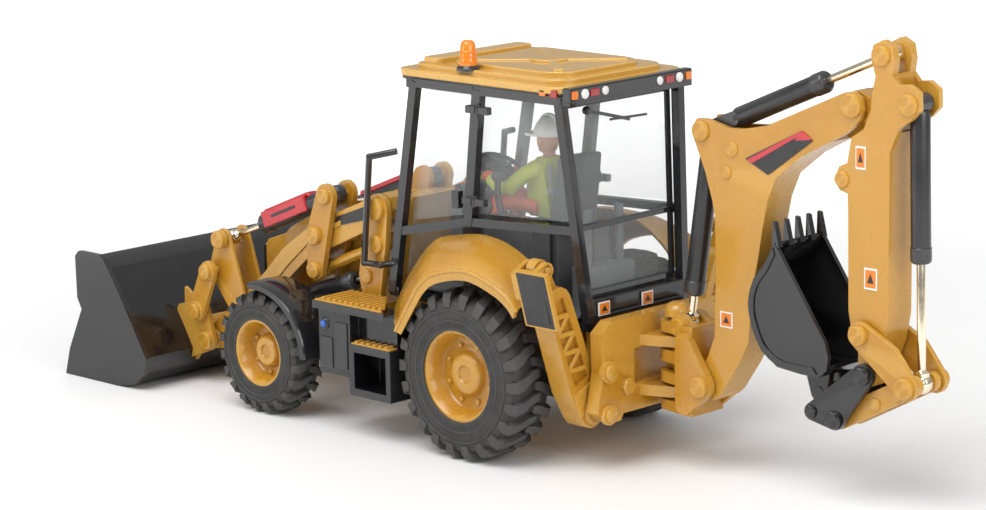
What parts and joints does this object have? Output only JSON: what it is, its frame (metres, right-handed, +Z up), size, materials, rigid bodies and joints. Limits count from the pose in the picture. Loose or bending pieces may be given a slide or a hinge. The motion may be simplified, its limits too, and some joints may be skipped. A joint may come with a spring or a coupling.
{
  "type": "toy backhoe loader",
  "caption": "Die-cast style toy backhoe loader with lifting front bucket, swinging rear digging arm, steerable wheels, cab with operator and folding stabilisers.",
  "frame": {"origin": "on the ground under the middle of the whole toy's box", "axes": "+X to the machine's left, -Y towards the loader bucket at its front, +Y towards the digging arm at its rear, +Z up"},
  "size_m": [0.048, 0.1604, 0.066],
  "materials": {
    "yellow_paint": "semi-gloss construction yellow paint",
    "black_gloss": "glossy black paint",
    "dark_grey": "satin dark grey",
    "tyre_rubber": "matt black rubber",
    "chrome": "pale champagne plating",
    "clear_glazing": "clear moulded insert",
    "amber_lens": "translucent amber",
    "grey_plastic": "matt mid grey",
    "figure_paint": "painted figure"
  },
  "bodies": {
    "chassis": {"main_frame": "yellow_paint", "engine_hood": "yellow_paint", "side_steps_left": "black_gloss", "side_steps_right": "black_gloss", "cab_frame": "black_gloss", "cab_roof": "yellow_paint", "beacon": "amber_lens", "cab_glazing": "clear_glazing", "cab_interior": "grey_plastic", "operator_figure": "figure_paint", "rear_fender_left": "yellow_paint", "rear_fender_right": "yellow_paint", "rear_frame": "yellow_paint"},
    "front_axle": {"front_axle": "dark_grey"},
    "knuckle_left": {"front_fender_left": "black_gloss"},
    "knuckle_right": {"front_fender_right": "black_gloss"},
    "wheel_front_left": {"tyre_front_left": "tyre_rubber", "rim_front_left": "yellow_paint"},
    "wheel_front_right": {"tyre_front_right": "tyre_rubber", "rim_front_right": "yellow_paint"},
    "wheel_rear_left": {"tyre_rear_left": "tyre_rubber", "rim_rear_left": "yellow_paint"},
    "wheel_rear_right": {"tyre_rear_right": "tyre_rubber", "rim_rear_right": "yellow_paint"},
    "loader_arm": {"loader_arm": "yellow_paint"},
    "rear_levers": {"rear_lever_left": "yellow_paint", "rear_lever_right": "yellow_paint"},
    "level_links": {"level_link_left": "yellow_paint", "level_link_right": "yellow_paint"},
    "lift_rods": {"lift_rod_left": "chrome", "lift_rod_right": "chrome"},
    "lift_barrels": {"lift_barrel_left": "dark_grey", "lift_barrel_right": "dark_grey"},
    "tilt_barrels": {"tilt_barrel_left": "dark_grey", "tilt_barrel_right": "dark_grey"},
    "tilt_rods": {"tilt_rod_left": "chrome", "tilt_rod_right": "chrome"},
    "tilt_pins": {"tilt_pin_left": "yellow_paint", "tilt_pin_right": "yellow_paint"},
    "front_levers": {"front_levers": "yellow_paint"},
    "tilt_links": {"tilt_link_left": "yellow_paint", "tilt_link_right": "yellow_paint"},
    "loader_bucket": {"loader_bucket": "black_gloss"},
    "swing_frame": {"swing_frame": "yellow_paint"},
    "boom": {"boom": "yellow_paint"},
    "boom_barrel": {"boom_barrel": "dark_grey"},
    "boom_rod": {"boom_rod": "chrome"},
    "stick": {"stick": "yellow_paint"},
    "crowd_barrel": {"crowd_barrel": "dark_grey"},
    "crowd_rod": {"crowd_rod": "chrome"},
    "bucket_barrel": {"bucket_barrel": "dark_grey"},
    "bucket_rod": {"bucket_rod": "chrome"},
    "bucket_lever": {"bucket_lever": "yellow_paint"},
    "bucket_link": {"bucket_link": "yellow_paint"},
    "hoe_bucket": {"hoe_coupler": "black_gloss", "hoe_bucket": "black_gloss"},
    "stabiliser_leg_left": {"stabiliser_leg_left": "yellow_paint"},
    "stabiliser_leg_right": {"stabiliser_leg_right": "yellow_paint"},
    "stabiliser_pad_left": {"stabiliser_pad_left": "yellow_paint"},
    "stabiliser_pad_right": {"stabiliser_pad_right": "yellow_paint"}
  },
  "joints": [
    {"name": "rear_wheel_left", "type": "hinge", "parent": "chassis", "child": "wheel_rear_left", "pos_m": [0.0169, 0.0091, 0.01287], "axis": [1, 0, 0], "continuous": true},
    {"name": "rear_wheel_right", "type": "hinge", "parent": "chassis", "child": "wheel_rear_right", "pos_m": [-0.0169, 0.0091, 0.01287], "axis": [1, 0, 0], "continuous": true},
    {"name": "axle_tilt", "type": "hinge", "parent": "chassis", "child": "front_axle", "pos_m": [0, -0.0349, 0.00979], "axis": [0, 1, 0], "range_deg": [-3, 3]},
    {"name": "steer", "type": "hinge", "parent": "front_axle", "child": "knuckle_left", "pos_m": [0.0126, -0.0349, 0.00979], "axis": [0, 0, 1], "range_deg": [-8, 8]},
    {"name": "steer_right", "type": "hinge", "parent": "front_axle", "child": "knuckle_right", "pos_m": [-0.0126, -0.0349, 0.00979], "axis": [0, 0, 1], "range_deg": [-8, 8]},
    {"name": "front_wheel_left", "type": "hinge", "parent": "knuckle_left", "child": "wheel_front_left", "pos_m": [0.01835, -0.0349, 0.00979], "axis": [1, 0, 0], "continuous": true},
    {"name": "front_wheel_right", "type": "hinge", "parent": "knuckle_right", "child": "wheel_front_right", "pos_m": [-0.01835, -0.0349, 0.00979], "axis": [1, 0, 0], "continuous": true},
    {"name": "loader_lift", "type": "hinge", "parent": "chassis", "child": "loader_arm", "pos_m": [0, -0.0154, 0.0339], "axis": [-1, 0, 0], "range_deg": [0, 50]},
    {"name": "rear_lever_level", "type": "hinge", "parent": "loader_arm", "child": "rear_levers", "pos_m": [0, -0.0296, 0.028], "axis": [-1, 0, 0], "range_deg": [-50, 0]},
    {"name": "level_link", "type": "hinge", "parent": "chassis", "child": "level_links", "pos_m": [0, -0.0156, 0.0284], "axis": [-1, 0, 0], "range_deg": [0, 50]},
    {"name": "lift_rod", "type": "hinge", "parent": "chassis", "child": "lift_rods", "pos_m": [0, -0.0179, 0.0231], "axis": [-1, 0, 0], "range_deg": [0, 53.12]},
    {"name": "lift_barrel", "type": "hinge", "parent": "loader_arm", "child": "lift_barrels", "pos_m": [0, -0.0414, 0.0152], "axis": [-1, 0, 0], "range_deg": [0, 3.12]},
    {"name": "tilt_barrel", "type": "hinge", "parent": "rear_levers", "child": "tilt_barrels", "pos_m": [0, -0.0271, 0.0345], "axis": [-1, 0, 0], "range_deg": [0, 44]},
    {"name": "tilt_pin", "type": "hinge", "parent": "front_levers", "child": "tilt_pins", "pos_m": [0, -0.0522, 0.0245], "axis": [-1, 0, 0], "range_deg": [-6, 0]},
    {"name": "bucket_tilt", "type": "hinge", "parent": "loader_arm", "child": "loader_bucket", "pos_m": [0, -0.0559, 0.0074], "axis": [1, 0, 0], "range_deg": [-25, 35]},
    {"name": "front_lever", "type": "hinge", "parent": "loader_arm", "child": "front_levers", "pos_m": [0, -0.0474, 0.011], "axis": [1, 0, 0], "range_deg": [-8.82, 12.36]},
    {"name": "tilt_link", "type": "hinge", "parent": "front_levers", "child": "tilt_links", "pos_m": [0, -0.0541, 0.0192], "axis": [1, 0, 0], "range_deg": [-21.11, 15.07]},
    {"name": "tilt_rod", "type": "hinge", "parent": "tilt_pins", "child": "tilt_rods", "pos_m": [0, -0.0522, 0.0245], "axis": [1, 0, 0], "range_deg": [-12.36, 8.82]},
    {"name": "swing", "type": "hinge", "parent": "chassis", "child": "swing_frame", "pos_m": [0, 0.0341, 0.015], "axis": [0, 0, 1], "range_deg": [-70, 70]},
    {"name": "boom", "type": "hinge", "parent": "swing_frame", "child": "boom", "pos_m": [0, 0.0417, 0.0134], "axis": [-1, 0, 0], "range_deg": [-4, 41]},
    {"name": "boom_rod", "type": "hinge", "parent": "swing_frame", "child": "boom_rod", "pos_m": [0, 0.0365, 0.0212], "axis": [-1, 0, 0], "range_deg": [-4.48, 45.92]},
    {"name": "boom_barrel", "type": "hinge", "parent": "boom", "child": "boom_barrel", "pos_m": [0, 0.0411, 0.0504], "axis": [-1, 0, 0], "range_deg": [-0.48, 4.92]},
    {"name": "stick", "type": "hinge", "parent": "boom", "child": "stick", "pos_m": [0, 0.0682, 0.0567], "axis": [1, 0, 0], "range_deg": [0, 55]},
    {"name": "crowd_barrel", "type": "hinge", "parent": "boom", "child": "crowd_barrel", "pos_m": [0, 0.0411, 0.0504], "axis": [1, 0, 0], "range_deg": [0, 8.53]},
    {"name": "crowd_rod", "type": "hinge", "parent": "stick", "child": "crowd_rod", "pos_m": [0, 0.0731, 0.0639], "axis": [1, 0, 0], "range_deg": [-46.48, 0]},
    {"name": "bucket_curl", "type": "hinge", "parent": "stick", "child": "hoe_bucket", "pos_m": [0, 0.071, 0.0195], "axis": [1, 0, 0], "range_deg": [-8, 12]},
    {"name": "bucket_lever", "type": "hinge", "parent": "stick", "child": "bucket_lever", "pos_m": [0, 0.0703, 0.02515], "axis": [1, 0, 0], "range_deg": [-4, 6]},
    {"name": "bucket_link", "type": "hinge", "parent": "bucket_lever", "child": "bucket_link", "pos_m": [0, 0.0783, 0.0189], "axis": [1, 0, 0], "range_deg": [-1.12, 1.68]},
    {"name": "bucket_barrel", "type": "hinge", "parent": "stick", "child": "bucket_barrel", "pos_m": [0, 0.0777, 0.0576], "axis": [1, 0, 0], "range_deg": [-0.72, 1.08]},
    {"name": "bucket_rod", "type": "hinge", "parent": "bucket_lever", "child": "bucket_rod", "pos_m": [0, 0.0783, 0.0189], "axis": [1, 0, 0], "range_deg": [-4.92, 3.28]},
    {"name": "stabiliser_left", "type": "hinge", "parent": "chassis", "child": "stabiliser_leg_left", "pos_m": [0.0114, 0.0256, 0.0088], "axis": [0, 1, 0], "range_deg": [0, 79]},
    {"name": "pad_left", "type": "hinge", "parent": "stabiliser_leg_left", "child": "stabiliser_pad_left", "pos_m": [0.0206, 0.0256, 0.0312], "axis": [0, 1, 0], "range_deg": [-8, 8]},
    {"name": "stabiliser_right", "type": "hinge", "parent": "chassis", "child": "stabiliser_leg_right", "pos_m": [-0.0114, 0.0256, 0.0088], "axis": [0, -1, 0], "range_deg": [0, 79]},
    {"name": "pad_right", "type": "hinge", "parent": "stabiliser_leg_right", "child": "stabiliser_pad_right", "pos_m": [-0.0206, 0.0256, 0.0312], "axis": [0, -1, 0], "range_deg": [-8, 8]}
  ],
  "couplings": [
    {"joint": "steer_right", "follows": "steer", "ratio": 1},
    {"joint": "rear_lever_level", "follows": "loader_lift", "ratio": -1},
    {"joint": "level_link", "follows": "loader_lift", "ratio": 1},
    {"joint": "lift_rod", "follows": "loader_lift", "ratio": 1.0625},
    {"joint": "lift_barrel", "follows": "loader_lift", "ratio": 0.0625},
    {"joint": "tilt_barrel", "follows": "loader_lift", "ratio": 0.88},
    {"joint": "tilt_pin", "follows": "loader_lift", "ratio": -0.12},
    {"joint": "front_lever", "follows": "bucket_tilt", "ratio": 0.353},
    {"joint": "tilt_link", "follows": "bucket_tilt", "ratio": -0.603},
    {"joint": "tilt_rod", "follows": "bucket_tilt", "ratio": -0.353},
    {"joint": "boom_rod", "follows": "boom", "ratio": 1.12},
    {"joint": "boom_barrel", "follows": "boom", "ratio": 0.12},
    {"joint": "crowd_barrel", "follows": "stick", "ratio": 0.155},
    {"joint": "crowd_rod", "follows": "stick", "ratio": -0.845},
    {"joint": "bucket_lever", "follows": "bucket_curl", "ratio": 0.5},
    {"joint": "bucket_link", "follows": "bucket_curl", "ratio": 0.14},
    {"joint": "bucket_barrel", "follows": "bucket_curl", "ratio": 0.09},
    {"joint": "bucket_rod", "follows": "bucket_curl", "ratio": -0.41}
  ]
}
